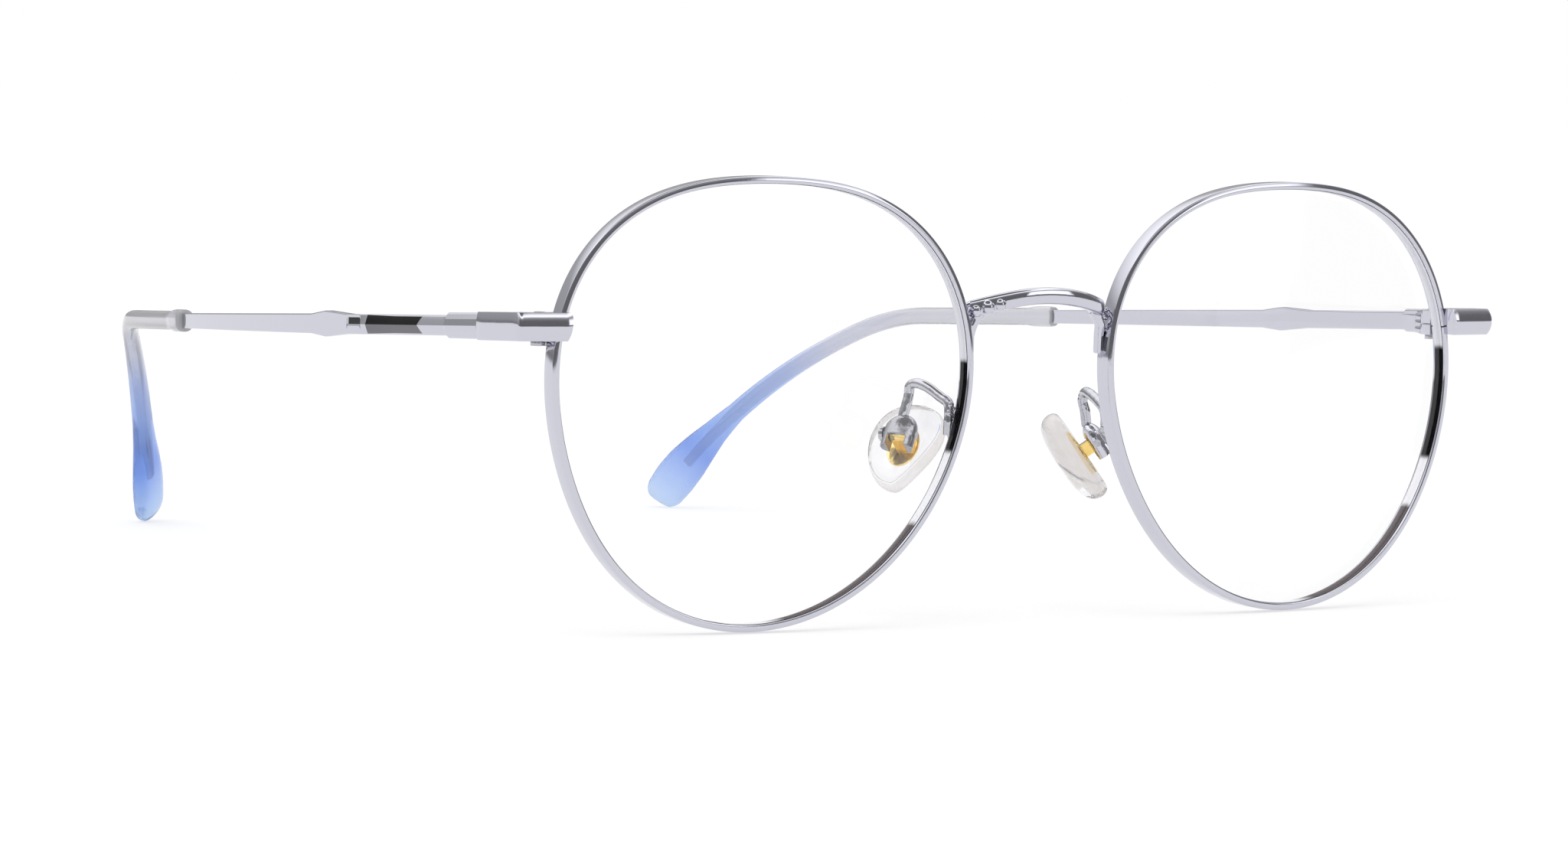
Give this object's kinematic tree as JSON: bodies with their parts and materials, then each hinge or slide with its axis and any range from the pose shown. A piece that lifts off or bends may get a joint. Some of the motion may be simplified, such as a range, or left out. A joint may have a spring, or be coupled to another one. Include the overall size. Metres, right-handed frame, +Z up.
{
  "type": "eyeglass frame",
  "caption": "Round metal eyeglass frame, open, with clear lenses, folding temples, clear blue temple tips and clear nose pads that rock on their arms.",
  "frame": {"origin": "on the table, under the middle of the open frame's length and width", "axes": "+X to the wearer's left, +Y back along the temples, +Z up"},
  "size_m": [0.1314, 0.1414, 0.0481],
  "materials": {
    "chrome": "polished silver plating",
    "screw_steel": "fine turned steel",
    "gold": "polished gold coloured metal",
    "lens": "clear, thin",
    "pad_clear": "clear soft plastic with a milky rim",
    "tip_blue": "clear plastic, turning light blue towards the end"
  },
  "bodies": {
    "front": {"bridge": "chrome", "rim_left": "chrome", "rim_right": "chrome", "lens_left": "lens", "lens_right": "lens", "endpiece_left": "chrome", "endpiece_right": "chrome", "rim_lock_upper_left": "chrome", "rim_lock_upper_right": "chrome", "rim_lock_lower_left": "chrome", "rim_lock_lower_right": "chrome", "rim_lock_screw_left": "screw_steel", "rim_lock_screw_right": "screw_steel", "front_hinge_left": "chrome", "front_hinge_right": "chrome", "hinge_screw_left": "screw_steel", "hinge_screw_right": "screw_steel", "pad_arm_left": "chrome", "pad_arm_right": "chrome", "pad_box_left": "chrome", "pad_box_right": "chrome", "pad_screw_left": "screw_steel", "pad_screw_right": "screw_steel"},
    "temple_left": {"temple_left": "chrome", "temple_tip_left": "tip_blue", "temple_hinge_left": "chrome"},
    "pad_left": {"nose_pad_left": "pad_clear", "pad_core_left": "gold"},
    "temple_right": {"temple_right": "chrome", "temple_tip_right": "tip_blue", "temple_hinge_right": "chrome"},
    "pad_right": {"nose_pad_right": "pad_clear", "pad_core_right": "gold"}
  },
  "joints": [
    {"name": "fold_left", "type": "hinge", "parent": "front", "child": "temple_left", "pos_m": [0.06202, -0.05855, 0.03177], "axis": [0, 0, 1], "range_deg": [0, 81]},
    {"name": "fold_right", "type": "hinge", "parent": "front", "child": "temple_right", "pos_m": [-0.06202, -0.05855, 0.03177], "axis": [0, 0, -1], "range_deg": [0, 75]},
    {"name": "pad_rock_left", "type": "hinge", "parent": "front", "child": "pad_left", "pos_m": [0.0131, -0.06186, 0.019], "axis": [0.5446, 0.8387, 0], "range_deg": [-6, 6]},
    {"name": "pad_rock_right", "type": "hinge", "parent": "front", "child": "pad_right", "pos_m": [-0.0131, -0.06186, 0.0202], "axis": [-0.5446, 0.8387, 0], "range_deg": [-6, 6]}
  ]
}
